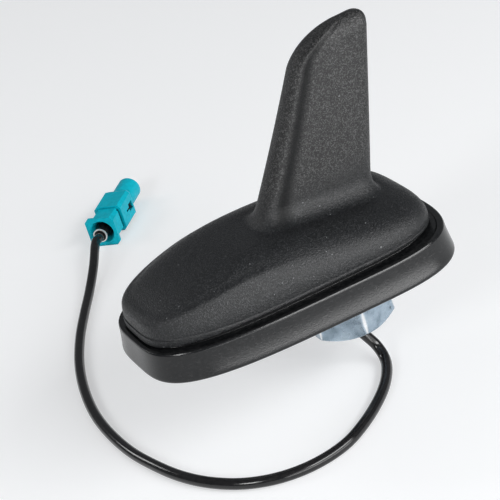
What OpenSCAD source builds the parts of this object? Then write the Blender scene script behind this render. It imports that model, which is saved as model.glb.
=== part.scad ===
/* [Foot] */
// Distance from the stud axis to the nose end of the foot
foot_nose = 59.5; // [50:0.5:75]
// Distance from the stud axis to the tail end of the foot
foot_tail = 27.5; // [24:0.5:36]
// Width of the foot across its middle, before it widens to the tail
foot_width = 56; // [50:0.5:70]
// Height of the lip round the foot above the roof
lip_height = 8; // [7:0.1:11]
// How far the outer wall leans in from the foot to the lip at the sides
wall_lean = 1.9; // [0.8:0.1:3]
// Width of the sealing land that rests on the roof
seal_land = 2.6; // [1.5:0.1:4]

/* [Cover] */
// Gap in plan from the foot's edge to the cover at the nose
cover_inset_nose = 2.4; // [1.8:0.1:5]
// Gap in plan from the foot's edge to the cover at the tail
cover_inset_tail = 3; // [2:0.1:5]
// Gap in plan from the foot's edge to the cover at the sides
cover_inset_side = 6; // [4:0.1:8]
// Wall of the moulded cover
cover_wall = 2; // [1.6:0.1:2.4]
// Height of the pod's crown above the roof
pod_height = 22; // [20:0.2:30]
// Fall of the pod's ridge from the nose to the tail
ridge_fall = 7.2; // [4:0.2:10]
// Roundness of the pod's shoulder, higher is squarer
shoulder_power = 2.8; // [2:0.1:3.5]
// Diameter of the screw bosses under the cover
boss_d = 6; // [5.2:0.1:7]

/* [Fin] */
// Height of the fin's tip above the roof
tip_height = 63.4; // [52:0.2:80]
// Where the fin's front edge meets the pod, ahead of the stud axis
fin_front = 18.2; // [12:0.2:22]
// Where the fin's rear edge meets the pod, behind the stud axis
fin_rear = 15.4; // [13:0.2:18.5]
// Backward sweep of the front edge over the fin's height
front_sweep = 25.4; // [16:0.2:28]
// Backward sweep of the rear edge over the fin's height
rear_sweep = 12; // [4:0.2:14]
// Thickness of the fin above its fillet
fin_base_t = 9.6; // [8.6:0.1:12]
// Thickness of the fin below its tip
fin_top_t = 7.6; // [6.4:0.1:9]
// Radius of the fillet between fin and pod
fin_fillet = 4.6; // [2.5:0.1:6]

/* [Base and stud] */
// Thickness of the die-cast base plate
plate_t = 3; // [2.4:0.1:3.6]
// Height of the base plate's underside above the roof
plate_lift = 2; // [1.4:0.1:2.4]
// Outer diameter of the threaded stud
stud_d = 14; // [12:0.5:16]
// Length of the stud below the roof
stud_length = 16.5; // [12:0.5:26]
// Bore of the hollow stud
stud_bore = 8; // [6:0.2:9]
// Width across the flats of the nut
nut_across_flats = 22; // [20:0.5:26]
// Height of the nut
nut_height = 11; // [8:0.5:13]
// Turn of the nut on the stud
nut_turn = 22.5; // [0:0.5:60]
// Thickness of the toothed washer on the nut
washer_t = 1.2; // [0.8:0.1:2]
// Number of teeth on the washer
washer_teeth = 12; // [6:1:18]

/* [Electronics] */
// Thickness of the amplifier board
board_t = 1.6; // [1:0.1:2]
// Height of the board above the base plate
board_lift = 2.6; // [2:0.1:3.2]
// Length of the amplifier board
board_length = 46; // [40:0.5:50]
// Width of the amplifier board
board_width = 24; // [20:0.5:28]
// Thickness of the radiator board in the fin
radiator_t = 1; // [0.6:0.1:1.4]
// Height of the shield can
can_height = 4.4; // [3:0.1:5]

/* [Fasteners] */
// Shank diameter of the screws that hold the cover
screw_d = 2.6; // [2:0.1:3]
// Head diameter of the screws that hold the cover
screw_head_d = 5; // [4.4:0.1:5.4]
// Shank diameter of the board screws
board_screw_d = 2; // [1.6:0.1:2.4]

/* [Cable and connector] */
// Outer diameter of the coaxial cable
cable_d = 3; // [2.6:0.1:3.4]
// Diameter of the connector's round nose
nose_d = 7.8; // [7.2:0.1:8.6]
// Length of the connector's round nose
nose_length = 8.4; // [7:0.1:11]
// Side of the connector's square body
body_side = 9.4; // [8.8:0.1:12]
// Length of the connector from nose to rear flange
connector_length = 28; // [26:0.5:32]
// Side of the connector's rear flange
flange_side = 10.2; // [9.6:0.1:14]

/* [Hidden] */

cover_colour = [0.17, 0.18, 0.19];
rubber_colour = [0.1, 0.1, 0.11];
cast_colour = [0.66, 0.67, 0.69];
zinc_colour = [0.62, 0.68, 0.74];
board_colour = [0.1, 0.36, 0.2];
tin_colour = [0.8, 0.81, 0.82];
teal_colour = [0.05, 0.56, 0.62];

// Plan outline of the foot: two halves of a superellipse that meet at the widest station
widest_x = -6.4;
nose_power = 3.7;
tail_power = 3.5;
widening = 0.0034;
sides = 64;

// Heights through the foot
rim_z = lip_height + 0.4;
rim_band = 2.2;
rim_low = 0.5;
rim_step = 0.25;
rim_edge = 0.05;
nose_from = 0.45;
nose_over = 0.5;
ledge_z = lip_height - 0.7;
ledge_drop = 0.15;
plate_top = plate_lift + plate_t;
seat_out = 0.9;
seat_rim = 1.2;
plate_inset = 1.4;
land_rise = 0.7;

// The pod's ridge runs level from the nose and falls towards the tail
ridge_from = -36;
ridge_to = 35;
nose_dip = 0.9;
dip_from = -10;
dip_length = 30;
cap_start = 0.82;
crown_start = 0.9;
end_power = 8;
cap_front_power = 0.93;
cap_rear_power = 2.5;
toe_front = 0.35;
toe_rear = 0.6;
crown_power = 1.9;
tip_back = 21;

function power(v, n) = v <= 0 ? 0 : pow(v, n);
function mix(a, b, k) = a + (b - a) * k;
function ramp(v) = let (u = min(1, max(0, v))) u * u * (3 - 2 * u);
function turn(i) = 360 * (i + 0.5) / sides;
function ridge(x) = pod_height - ridge_fall * ramp((x - ridge_from) / (ridge_to - ridge_from))
    - nose_dip * pow(max(0, (dip_from - x) / dip_length), 2);

// Point of a plan outline at angle a, given its ends, half width and the corner powers
function plan_point(a, nose, tail, half, mid, p_nose, p_tail, widen) =
    let (c = cos(a), s = sin(a),
         p = c < 0 ? p_nose : p_tail,
         r = pow(pow(abs(c), p) + pow(abs(s), p), -1 / p),
         dx = c * r * (c < 0 ? mid + nose : tail - mid))
    [mid + dx, half * s * r * (1 + widen * dx)];

// Outline of the foot moved in by its own amount at the nose, the tail and the sides
function foot_point(a, d_nose, d_tail, d_side) =
    plan_point(a, foot_nose - d_nose, foot_tail - d_tail, foot_width / 2 - d_side, widest_x,
               nose_power, tail_power, widening);
// Outline of the cover's lower edge moved in by d
function cover_point(a, d) =
    foot_point(a, cover_inset_nose + d, cover_inset_tail + d, cover_inset_side + d);

// Share that is one at the nose and falls to nothing along the sides
function near_nose(a) = ramp((-cos(a) - nose_from) / nose_over);
// Height where the pod's curve starts: above a tall band at the nose, and a low one along the sides
function rim_top(a) = rim_z + mix(rim_low, rim_band, near_nose(a));

// Blade section with flat sides and round ends; its radius is found in k Newton steps from outside
function blade_radius(c, s, r, k) = k == 0 ? r :
    let (end = pow(c * r, end_power), side = pow(s * r, 2))
    blade_radius(c, s, r - r * (end + side - 1) / (end_power * end + 2 * side), k - 1);
function blade_point(a, nose, tail, half) =
    let (c = abs(cos(a)), s = abs(sin(a)), r = blade_radius(c, s, 1 / max(c, s), 8))
    [(nose + tail) / 2 + cos(a) * r * (tail - nose) / 2, sin(a) * r * half];

// Fin section at height share q, grown by g: the ends' rounding starts at cap_start, the sides' at crown_start
function cap_turn(q) = q <= cap_start ? 0 : asin(min(1, (q - cap_start) / (1 - cap_start)));
function fin_point(a, q, g, skin) =
    let (turned = cap_turn(q),
         lost = 1 - cos(turned),
         front = mix(-fin_front, front_sweep - fin_front, q) + skin * 1.5,
         rear = mix(fin_rear, fin_rear + rear_sweep, q) - skin * 1.2,
         front_top = front_sweep - fin_front + skin * 1.5,
         rear_top = fin_rear + rear_sweep - skin * 1.2,
         nose_x = front + (tip_back - front_top) * power(lost, cap_front_power) - g * toe_front,
         tail_x = rear - (rear_top - tip_back) * power(lost, cap_rear_power) + g * toe_rear,
         crown = max(0, (q - crown_start) / (1 - crown_start)),
         half = (mix(fin_base_t, fin_top_t, q) / 2 - skin) * sqrt(1 - crown * crown) + g)
    blade_point(a, nose_x, tail_x, half);

// Ring of the pod: k runs from 0 at the rim to 1 at the foot of the fin's fillet
function pod_ring(k, skin) =
    let (up = power(sin(90 * k), 2 / shoulder_power), out = power(cos(90 * k), 2 / crown_power))
    [for (i = [0 : sides - 1])
        let (a = turn(i), inner = fin_point(a, 0, fin_fillet, skin),
             outer = cover_point(a, rim_step * near_nose(a) + skin), p = inner * (1 - out) + outer * out)
        [p[0], p[1], mix(rim_top(a), ridge(p[0]) - skin, up)]];
// Ring of the fin at height share q, grown by the fillet g
function fin_ring(q, g, skin) =
    [for (i = [0 : sides - 1])
        let (p = fin_point(turn(i), q, g, skin))
        [p[0], p[1], mix(ridge(p[0]) - skin, tip_height - 1.5 * skin, q)]];
function fillet_ring(turned, skin) =
    fin_ring(fin_fillet * (1 - cos(turned)) / (tip_height - pod_height), fin_fillet * (1 - sin(turned)), skin);
function flat_ring(d, z) = [for (i = [0 : sides - 1]) let (p = cover_point(turn(i), d)) [p[0], p[1], z]];
function band_ring(d) = [for (i = [0 : sides - 1])
    let (a = turn(i), p = cover_point(a, d)) [p[0], p[1], rim_top(a) - rim_edge]];

// Rings of one skin of the cover, from its lower edge to just below the fin's tip
function cover_rings(skin, pod_steps, fillet_steps, fin_steps, cap_steps) =
    let (q0 = fin_fillet / (tip_height - pod_height)) concat(
        [flat_ring(skin, rim_z), band_ring(skin)],
        [for (k = [0 : pod_steps]) pod_ring(k / pod_steps, skin)],
        [for (k = [1 : fillet_steps]) fillet_ring(90 * k / fillet_steps, skin)],
        [for (k = [1 : fin_steps]) fin_ring(mix(q0, cap_start, k / fin_steps), 0, skin)],
        [for (k = [1 : cap_steps - 1]) fin_ring(mix(cap_start, 1, sin(90 * k / cap_steps)), 0, skin)]);

// Faces that join ring k to ring k + 1, each ring having n points
function band_faces(k, n, flip) =
    [for (i = [0 : n - 1]) let (j = (i + 1) % n, a = k * n + i, b = k * n + j, c = b + n, d = a + n)
        each (flip ? [[a, b, c], [a, c, d]] : [[c, b, a], [d, c, a]])];

// Closed shell between an outer and an inner stack of rings that share a flat lower edge
module ring_shell(outer, inner, outer_tip, inner_tip) {
    m = len(outer);
    n = len(inner);
    stack = concat([for (k = [n - 1 : -1 : 0]) inner[k]], outer);
    count = (m + n) * sides;
    points = concat([for (ring = stack) each ring], [outer_tip, inner_tip]);
    last = (m + n - 1) * sides;
    faces = concat(
        [for (k = [0 : m + n - 2]) each band_faces(k, sides, false)],
        [for (i = [0 : sides - 1]) [last + (i + 1) % sides, last + i, count]],
        [for (i = [0 : sides - 1]) [i, (i + 1) % sides, count + 1]]);
    polyhedron(points = points, faces = faces, convexity = 8);
}

// Closed band whose section is a loop of rings
module ring_loop(rings) {
    m = len(rings);
    points = [for (ring = rings) each ring];
    faces = [for (k = [0 : m - 1], i = [0 : sides - 1])
        let (j = (i + 1) % sides, l = (k + 1) % m)
        each [[l * sides + j, k * sides + j, k * sides + i], [l * sides + i, l * sides + j, k * sides + i]]];
    polyhedron(points = points, faces = faces, convexity = 6);
}

// Screw places: under the pod's nose shoulders and beside the fin's rear
front_screw = [-40, 9.5];
rear_screw = [13, 16.5 - cover_wall];
screw_places = [for (p = [front_screw, rear_screw], s = [-1, 1]) [p[0], s * p[1]]];
front_boss_share = 0.74;
rear_boss_share = 0.77;
function boss_top(p) = mix(rim_z, ridge(p[0]), p[0] < 0 ? front_boss_share : rear_boss_share);
pilot_depth = 8;
thread_bite = 0.4;
screw_clear = 0.4;
board_thread_bite = 0.3;
head_t = 1.6;

// Amplifier board and what it carries
board_z = plate_top + board_lift;
board_mid = -13;
board_screw_x = 19;
board_screw_places = [for (s = [-1, 1]) [board_mid + s * board_screw_x, -s * 8]];
can_size = [15, 14];
can_wall = 0.4;
can_at = [board_mid - 9, 2];
chip_size = [5, 4, 1.2];
chip_at = [board_mid + 8, -6];
coil_d = 3.2;
coil_height = 3;
coil_at = [board_mid + 4, 6];
coil_pitch = 4.4;
radiator_foot_z = board_z + board_t + 3;
radiator_top_share = 0.72;
spring_x = 3;
spring_wire = 0.6;
spring_d = 5;
spring_grip = 2.4;
clamp_wall = 0.5;

// Nut, washer and grommet on the stud
nut_low = -stud_length - 1;
nut_chamfer = 1.2;
washer_z = nut_low + nut_height;
thread_clear = 0.05;
grommet_height = 5;
boss_flat = 18;
board_boss_d = 5;
rib_t = 1.6;
rib_places = [-44, -30, -16, 0, 16];
pocket_depth = 1.1;

// Connector: its axis lies level above the surface that the cable lies on
floor_z = -31.5;
connector_heading = 46;
connector_at = [-12, 137, floor_z + flange_side / 2];
neck_length = 6;
flange_length = 2.2;
flange_slope = 1.2;
shoulder_length = 1.8;
neck_side = body_side - 1.4;
nose_bore = 6.2;
sleeve_d = 4.6;
sleeve_wall = 0.35;
insulator_d = sleeve_d - 2 * sleeve_wall;
pin_d = 1;
contact_set_back = 1;
nose_bore_depth = 15;
rear_mouth = 8;
rear_throat = 6.2;
rear_throat_depth = 7;
rear_bore = 5.2;
ferrule_d = 4;
ferrule_out = 2.2;
ferrule_rim_d = 4.7;
ferrule_rim_t = 0.45;
lock_size = [2.6, 3];
lock_at = 6;
lock_t = 0.5;
lock_depth = 1.2;
key_slot = [2.2, 0.7];
side_slot = [0.9, 1.1, 7];
heading = [cos(connector_heading), sin(connector_heading), 0];
connector_rear = connector_at - heading * connector_length / 2;

// Route of the cable from the board, down the stud, then along the surface to the connector
cable_z = floor_z + cable_d / 2;
route = [
    [0, 0, board_z], [0, 0, 2], [0, 0, -8], [0, 0, -15], [0, 0, -18], [1.6, -0.6, -22.4],
    [3.8, -3, -27.2], [3.4, -7, cable_z + 0.3], [0.6, -12.2, cable_z], [-3.8, -17.6, cable_z],
    [-9.5, -22.6, cable_z], [-16, -27, cable_z], [-23, -30.4, cable_z], [-30.5, -31.6, cable_z],
    [-38, -30.8, cable_z], [-45, -28, cable_z], [-51.5, -23, cable_z], [-57, -15.8, cable_z],
    [-61, -7.5, cable_z], [-63.8, 2, cable_z], [-65.9, 13, cable_z], [-66.5, 26, cable_z],
    [-65.5, 39, cable_z], [-62.5, 53, cable_z], [-58, 66.5, cable_z], [-52, 79.5, cable_z],
    [-45.5, 91, cable_z], [-39, 101.5, cable_z + 0.3], [-32.5, 111.5, cable_z + 2],
    connector_rear - heading * 7, connector_rear - heading * 3.4, connector_rear + heading * 5];

function catmull(p0, p1, p2, p3, u) =
    0.5 * ((2 * p1) + (p2 - p0) * u + (2 * p0 - 5 * p1 + 4 * p2 - p3) * u * u
           + (3 * p1 - p0 - 3 * p2 + p3) * u * u * u);
function unit(v) = v / norm(v);

module radome_cover() {
    color(cover_colour) difference() {
        union() {
            ring_shell(cover_rings(0, 9, 5, 4, 6), cover_rings(cover_wall, 6, 3, 2, 4),
                       [tip_back, 0, tip_height], [tip_back, 0, tip_height - 1.5 * cover_wall]);
            for (p = screw_places)
                translate([p[0], p[1], plate_top])
                    cylinder(d = boss_d, h = boss_top(p) - plate_top, $fn = 32);
        }
        for (p = screw_places)
            translate([p[0], p[1], plate_top - 1]) cylinder(d = screw_d - thread_bite, h = pilot_depth + 1, $fn = 24);
    }
}

module foot_gasket() {
    seat_in = cover_wall + seat_rim;
    lean = [wall_lean * 0.55, wall_lean * 0.45, wall_lean];
    lip_bevel = 0.42;
    lip_least = 0.4;
    lip_fall = 0.3;
    lip_in = [max(lean[0] + lip_least, cover_inset_nose - 0.3), max(lean[1] + lip_least, cover_inset_tail - 0.6),
              lean[2] + 0.75];
    function ring(d, z) = [for (i = [0 : sides - 1])
        let (p = foot_point(turn(i), d[0], d[1], d[2])) [p[0], p[1], z]];
    function ledge(i) = mix(ledge_z, lip_height - ledge_drop, near_nose(turn(i)));
    function on_ledge(points) = [for (i = [0 : sides - 1]) [points[i][0], points[i][1], ledge(i)]];
    even = [1, 1, 1];
    color(rubber_colour) ring_loop([
        ring(0.5 * even, 0), ring(0 * even, 0.6), ring(lean * 0.3, lip_height * 0.35),
        ring(lean * 0.8, lip_height - 1), ring(lean * 0.87, lip_height - lip_bevel),
        ring(lean + 0.05 * even, lip_height), ring(lip_in, lip_height),
        on_ledge(ring(lip_in + lip_fall * even, 0)), on_ledge(flat_ring(seat_out, 0)),
        flat_ring(seat_out, rim_z), flat_ring(seat_in, rim_z), flat_ring(seat_in, plate_top),
        flat_ring(plate_inset, plate_top), flat_ring(plate_inset, land_rise + 0.4),
        ring((seal_land + 0.6) * even, land_rise), ring(seal_land * even, 0)]);
}

module base_plate() {
    outline = [for (i = [0 : sides - 1]) cover_point(turn(i), plate_inset)];
    inside = [for (i = [0 : sides - 1]) cover_point(turn(i), plate_inset + rib_t * 2)];
    color(cast_colour) difference() {
        union() {
            translate([0, 0, plate_lift]) linear_extrude(plate_t) polygon(outline);
            cylinder(d = boss_flat, h = plate_lift, $fn = 64);
            translate([0, 0, -stud_length]) cylinder(d = stud_d, h = stud_length, $fn = 64);
            for (p = board_screw_places)
                translate([p[0], p[1], plate_top]) cylinder(d = board_boss_d, h = board_lift, $fn = 32);
        }
        translate([0, 0, plate_lift - 1]) linear_extrude(pocket_depth + 1) difference() {
            polygon(inside);
            circle(d = boss_flat + 4, $fn = 64);
            for (p = screw_places) translate(p) circle(d = screw_head_d + 4, $fn = 32);
            for (x = rib_places) translate([x - rib_t / 2, -foot_width / 2]) square([rib_t, foot_width]);
            translate([-foot_nose, -rib_t / 2]) square([foot_nose + foot_tail, rib_t]);
        }
        translate([0, 0, -stud_length - 1]) cylinder(d = stud_bore, h = stud_length + plate_top + 2, $fn = 48);
        for (p = screw_places) {
            translate([p[0], p[1], plate_lift - 1]) cylinder(d = screw_d + screw_clear, h = plate_t + 2, $fn = 32);
            translate([p[0], p[1], plate_lift - 1]) cylinder(d = screw_head_d + screw_clear, h = head_t + 1, $fn = 32);
        }
        for (p = board_screw_places)
            translate([p[0], p[1], plate_top - 1.5]) cylinder(d = board_screw_d - board_thread_bite, h = board_lift + 2, $fn = 24);
    }
}

// Screw seen from its head end, pointing up
module screw(shank_d, head_d, head_h, length) {
    difference() {
        union() {
            cylinder(d = head_d, h = head_h, $fn = 32);
            translate([0, 0, head_h]) cylinder(d = shank_d, h = length, $fn = 24);
        }
        translate([0, 0, -1]) cylinder(d = head_d * 0.5, h = 1 + head_h * 0.6, $fn = 6);
    }
}

module cover_screws() {
    color(zinc_colour) for (p = screw_places)
        translate([p[0], p[1], plate_lift]) screw(screw_d - thread_bite, screw_head_d, head_t, plate_t - head_t + pilot_depth - 1);
}

module board_screws() {
    color(zinc_colour) for (p = board_screw_places)
        translate([p[0], p[1], board_z + board_t + 1.2]) rotate([180, 0, 0])
            screw(board_screw_d - board_thread_bite, board_screw_d * 1.9, 1.2, board_t + board_lift);
}

module hex_nut() {
    corner = nut_across_flats / cos(30);
    outer_r = corner / 2 + 0.3;
    chamfer_r = nut_across_flats / 2 - 0.4;
    color(zinc_colour) translate([0, 0, nut_low]) difference() {
        intersection() {
            rotate([0, 0, nut_turn]) cylinder(d = corner, h = nut_height, $fn = 6);
            rotate_extrude($fn = 96) polygon([
                [0, 0], [chamfer_r, 0], [outer_r, nut_chamfer], [outer_r, nut_height - nut_chamfer],
                [chamfer_r, nut_height], [0, nut_height]]);
        }
        translate([0, 0, -1]) cylinder(d = stud_d + 2 * thread_clear, h = nut_height + 2, $fn = 64);
        translate([0, 0, -0.01]) cylinder(d1 = stud_d + 2, d2 = stud_d, h = 1, $fn = 64);
    }
}

module claw_washer() {
    ring_d = nut_across_flats - 1;
    tooth = 1.1;
    color(tin_colour) translate([0, 0, washer_z]) difference() {
        union() {
            cylinder(d = ring_d, h = washer_t * 0.6, $fn = 64);
            for (i = [0 : washer_teeth - 1])
                rotate([0, 0, 360 * i / washer_teeth]) translate([ring_d / 2 - 2.6, -tooth / 2, 0])
                    rotate([90, 0, 90]) linear_extrude(2.3)
                        polygon([[0, washer_t * 0.5], [tooth, washer_t * 0.5], [tooth, washer_t * 1.5]]);
        }
        translate([0, 0, -1]) cylinder(d = stud_d + 0.6, h = washer_t * 2 + 2, $fn = 64);
    }
}

module cable_grommet() {
    color(rubber_colour) translate([0, 0, -stud_length]) difference() {
        rotate_extrude($fn = 48) polygon([
            [0, -0.6], [cable_d / 2 + 1, -0.6], [stud_bore / 2 - 0.6, 0], [stud_bore / 2, 0.4],
            [stud_bore / 2, grommet_height], [0, grommet_height]]);
        translate([0, 0, -2]) cylinder(d = cable_d, h = grommet_height + 4, $fn = 32);
    }
}

module amplifier_board() {
    color(board_colour) translate([0, 0, board_z]) difference() {
        translate([board_mid - board_length / 2, -board_width / 2, 0]) cube([board_length, board_width, board_t]);
        translate([0, 0, -1]) cylinder(d = cable_d - 1.4, h = board_t + 2, $fn = 24);
        for (p = board_screw_places)
            translate([p[0], p[1], -1]) cylinder(d = board_screw_d + 0.2, h = board_t + 2, $fn = 24);
    }
}

module shield_can() {
    wall = can_wall;
    color(tin_colour) translate([can_at[0], can_at[1], board_z + board_t]) difference() {
        translate([-can_size[0] / 2, -can_size[1] / 2, 0]) cube([can_size[0], can_size[1], can_height]);
        translate([wall - can_size[0] / 2, wall - can_size[1] / 2, -1])
            cube([can_size[0] - 2 * wall, can_size[1] - 2 * wall, can_height + 1 - wall]);
        for (x = [-4, 0, 4], y = [-3.5, 0, 3.5])
            translate([x, y, can_height - 1]) cylinder(d = 1.2, h = 2, $fn = 16);
    }
}

module amplifier_chip() {
    color([0.12, 0.12, 0.13]) translate([chip_at[0], chip_at[1], board_z + board_t])
        translate([-chip_size[0] / 2, -chip_size[1] / 2, 0]) cube(chip_size);
}

module filter_coils() {
    color([0.72, 0.42, 0.2]) for (i = [0 : 2])
        translate([coil_at[0] + i * coil_pitch, coil_at[1], board_z + board_t])
            difference() {
                cylinder(d = coil_d, h = coil_height, $fn = 32);
                translate([0, 0, coil_height - 1]) cylinder(d = coil_d / 2, h = 2, $fn = 24);
            }
}

module fin_radiator() {
    low_x = -7;
    high = mix(ridge(0) - cover_wall, tip_height - 1.5 * cover_wall, radiator_top_share);
    front_top = mix(-fin_front, front_sweep - fin_front, radiator_top_share) + cover_wall * 1.5 + 2;
    rear_top = mix(fin_rear, fin_rear + rear_sweep, radiator_top_share) - cover_wall * 1.2 - 1.4;
    rear_low = fin_rear - cover_wall * 1.2 - 2;
    shoulder_z = ridge(0) + 4;
    color(board_colour) translate([0, radiator_t / 2, 0]) rotate([90, 0, 0]) linear_extrude(radiator_t)
        polygon([[low_x, radiator_foot_z], [rear_low - 4, radiator_foot_z], [rear_low, shoulder_z],
                 [rear_top, high - 3], [rear_top - 3, high], [front_top + 2, high], [front_top, high - 3],
                 [low_x, shoulder_z]]);
}

module radiator_spring() {
    low = board_z + board_t;
    color(tin_colour) translate([spring_x, 0, low]) difference() {
        cylinder(d = spring_d, h = radiator_foot_z - low + spring_grip, $fn = 32);
        translate([0, 0, spring_wire]) cylinder(d = spring_d - 2 * spring_wire, h = 10, $fn = 32);
        translate([-4, -radiator_t / 2, radiator_foot_z - low]) cube([8, radiator_t, 10]);
    }
}

module cable_clamp() {
    color(tin_colour) translate([0, 0, board_z - board_lift]) difference() {
        cylinder(d = cable_d + 2 * clamp_wall, h = board_lift, $fn = 32);
        translate([0, 0, -1]) cylinder(d = cable_d, h = board_lift + 2, $fn = 32);
    }
}

module coax_cable() {
    tube_sides = 8;
    steps = 2;
    n = len(route);
    line = concat([for (k = [0 : n - 2], s = [0 : steps - 1])
        catmull(route[max(0, k - 1)], route[k], route[k + 1], route[min(n - 1, k + 2)], s / steps)], [route[n - 1]]);
    m = len(line);
    heads = [for (k = [0 : m - 1])
        k == 0 ? [0, 0, -1] : k == m - 1 ? heading : unit(line[k + 1] - line[k - 1])];
    side_hint = [0.8, 0.6, 0];
    sides_at = [for (k = 0, s = unit(side_hint); k < m; k = k + 1,
                     s = k < m ? unit(s - heads[k] * (s * heads[k])) : s) s];
    points = [for (k = [0 : m - 1], i = [0 : tube_sides - 1])
        let (a = 360 * (i + 0.5) / tube_sides, s = unit(sides_at[k] - heads[k] * (sides_at[k] * heads[k])),
             b = cross(heads[k], s))
        line[k] + (s * cos(a) + b * sin(a)) * cable_d / 2];
    faces = concat(
        [for (k = [0 : m - 2], i = [0 : tube_sides - 1])
            let (j = (i + 1) % tube_sides, a = k * tube_sides)
            each [[a + i + tube_sides, a + j, a + i], [a + i + tube_sides, a + j + tube_sides, a + j]]],
        [[for (i = [0 : tube_sides - 1]) i]],
        [[for (i = [tube_sides - 1 : -1 : 0]) (m - 1) * tube_sides + i]]);
    color([0.06, 0.06, 0.07]) polyhedron(points = points, faces = faces, convexity = 10);
}

// Places a shape drawn along +X from the connector's rear face
module on_connector() {
    translate(connector_rear) rotate([0, 0, connector_heading]) children();
}
module along_x() { rotate([90, 0, 90]) children(); }
module cut_square(side, corner) {
    r = side / 2;
    polygon([for (q = [0 : 3]) each [rotate2([r, corner - r], 90 * q), rotate2([r, r - corner], 90 * q)]]);
}
module bar(side, from, to, corner) {
    translate([from, 0, 0]) along_x() linear_extrude(to - from) cut_square(side, corner);
}
module taper(side, far_side, from, to, corner) {
    translate([from, 0, 0]) along_x() linear_extrude(to - from, scale = far_side / side) cut_square(side, corner);
}
function rotate2(p, a) = [p[0] * cos(a) - p[1] * sin(a), p[0] * sin(a) + p[1] * cos(a)];

module connector_housing() {
    body_from = flange_length + neck_length;
    body_to = connector_length - nose_length;
    side = -body_side / 2;
    color(teal_colour) on_connector() difference() {
        union() {
            bar(flange_side, 0, flange_length - flange_slope, 1.2);
            taper(flange_side, neck_side, flange_length - flange_slope, flange_length, 1.2);
            bar(neck_side, flange_length, body_from, 1);
            bar(body_side, body_from, body_to - shoulder_length, 1);
            taper(body_side, nose_d, body_to - shoulder_length, body_to, 1);
            translate([body_to - shoulder_length, 0, 0]) along_x()
                cylinder(d = nose_d, h = nose_length + shoulder_length, $fn = 48);
        }
        translate([connector_length - nose_bore_depth, 0, 0]) along_x()
            cylinder(d = nose_bore, h = nose_bore_depth + 1, $fn = 48);
        translate([-1, 0, 0]) along_x() cylinder(d = rear_bore, h = connector_length, $fn = 48);
        translate([-1, 0, 0]) along_x() cylinder(d = rear_throat, h = rear_throat_depth + 1, $fn = 48);
        translate([-0.01, 0, 0]) along_x() cylinder(d1 = rear_mouth, d2 = rear_throat, h = flange_length, $fn = 48);
        translate([body_from + lock_at, side - 1, -lock_size[0] / 2])
            cube([lock_size[1], lock_depth + 1, lock_size[0]]);
        translate([body_from + lock_at - key_slot[0], side - 1, -key_slot[1] / 2])
            cube([key_slot[0] + 1, lock_depth + 0.6, key_slot[1]]);
        translate([body_from - side_slot[0], -neck_side / 2 - 1, -side_slot[2] / 2])
            cube([side_slot[0], side_slot[1] + 1, side_slot[2]]);
    }
}

module connector_lock() {
    body_from = flange_length + neck_length;
    color(teal_colour) on_connector()
        translate([body_from + lock_at, lock_depth - lock_t - body_side / 2, -lock_size[0] / 2]) difference() {
            cube([lock_size[1], lock_t, lock_size[0]]);
            translate([0.8, -1, 0.6]) cube([lock_size[1] - 1.6, 1.25, lock_size[0] - 1.2]);
        }
}

module contact_sleeve() {
    from = connector_length - nose_bore_depth;
    to = connector_length - contact_set_back;
    color(tin_colour) on_connector() difference() {
        union() {
            translate([from, 0, 0]) along_x() cylinder(d = nose_bore, h = 3, $fn = 48);
            translate([from, 0, 0]) along_x() cylinder(d = sleeve_d, h = to - from, $fn = 48);
        }
        translate([from - 1, 0, 0]) along_x() cylinder(d = insulator_d, h = to - from + 2, $fn = 48);
    }
}

module contact_insulator() {
    from = connector_length - nose_bore_depth;
    color([0.93, 0.92, 0.88]) on_connector() difference() {
        translate([from, 0, 0]) along_x() cylinder(d = insulator_d, h = 8, $fn = 48);
        translate([from - 1, 0, 0]) along_x() cylinder(d = pin_d, h = 10, $fn = 24);
    }
}

module centre_contact() {
    from = connector_length - nose_bore_depth;
    color([0.83, 0.68, 0.35]) on_connector()
        translate([from, 0, 0]) along_x() cylinder(d = pin_d, h = nose_bore_depth - contact_set_back - 1, $fn = 24);
}

module crimp_ferrule() {
    to = connector_length - nose_bore_depth;
    color(tin_colour) on_connector() difference() {
        union() {
            translate([rear_throat_depth, 0, 0]) along_x() cylinder(d = rear_bore, h = to - rear_throat_depth, $fn = 48);
            translate([-ferrule_out, 0, 0]) along_x() cylinder(d = ferrule_d, h = ferrule_out + rear_throat_depth + 1, $fn = 48);
            translate([-ferrule_out, 0, 0]) along_x() cylinder(d = ferrule_rim_d, h = ferrule_rim_t, $fn = 48);
        }
        translate([-ferrule_out - 1, 0, 0]) along_x() cylinder(d = cable_d, h = to + ferrule_out + 2, $fn = 32);
    }
}

radome_cover();
foot_gasket();
base_plate();
cover_screws();
hex_nut();
claw_washer();
cable_grommet();
amplifier_board();
board_screws();
shield_can();
amplifier_chip();
filter_coils();
fin_radiator();
radiator_spring();
cable_clamp();
coax_cable();
crimp_ferrule();
connector_housing();
connector_lock();
contact_sleeve();
contact_insulator();
centre_contact();
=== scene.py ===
"""Looks of a shark fin roof aerial: cover, rubber foot, nut, coaxial lead and plug."""
import math

import bpy
import numpy as np
from mathutils import Matrix


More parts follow.
